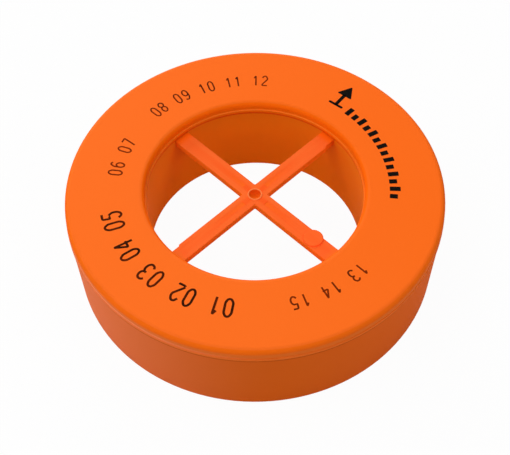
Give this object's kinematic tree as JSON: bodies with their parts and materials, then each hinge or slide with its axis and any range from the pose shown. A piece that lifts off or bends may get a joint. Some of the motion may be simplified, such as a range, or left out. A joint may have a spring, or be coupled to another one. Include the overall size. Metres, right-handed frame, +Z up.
{
  "type": "underground cable marker",
  "caption": "Ring-shaped passive marker buried above a cable: a moulded tray and welded lid hold a tuned coil, and spokes span the central hole.",
  "frame": {"origin": "on the ring's axis, at the level of the flat foot that it stands on", "axes": "+Z up along the ring's axis, from the foot to the lid; the four spokes lie midway between the X and Y axes"},
  "size_m": [0.12, 0.12, 0.032],
  "materials": {
    "tray_plastic": "orange moulded polypropylene, fine satin",
    "lid_plastic": "orange moulded polypropylene, fine satin",
    "enamelled_wire": "enamelled copper wire, glossy",
    "tape": "polyester film tape",
    "adhesive": "hot-melt adhesive, milky",
    "capacitor_case": "moulded case, semi-gloss",
    "tinned_wire": "tinned copper wire",
    "solder": "solder, bright",
    "sleeve": "black insulating sleeve",
    "print": "dark laser marking and black print on the lid"
  },
  "bodies": {
    "root": {"tray_housing": "tray_plastic", "lid": "lid_plastic", "coil_winding": "enamelled_wire", "coil_tape": "tape", "adhesive_dabs": "adhesive", "capacitor": "capacitor_case", "capacitor_leads": "tinned_wire", "solder_joints": "solder", "tail_sleeves": "sleeve"}
  },
  "joints": []
}
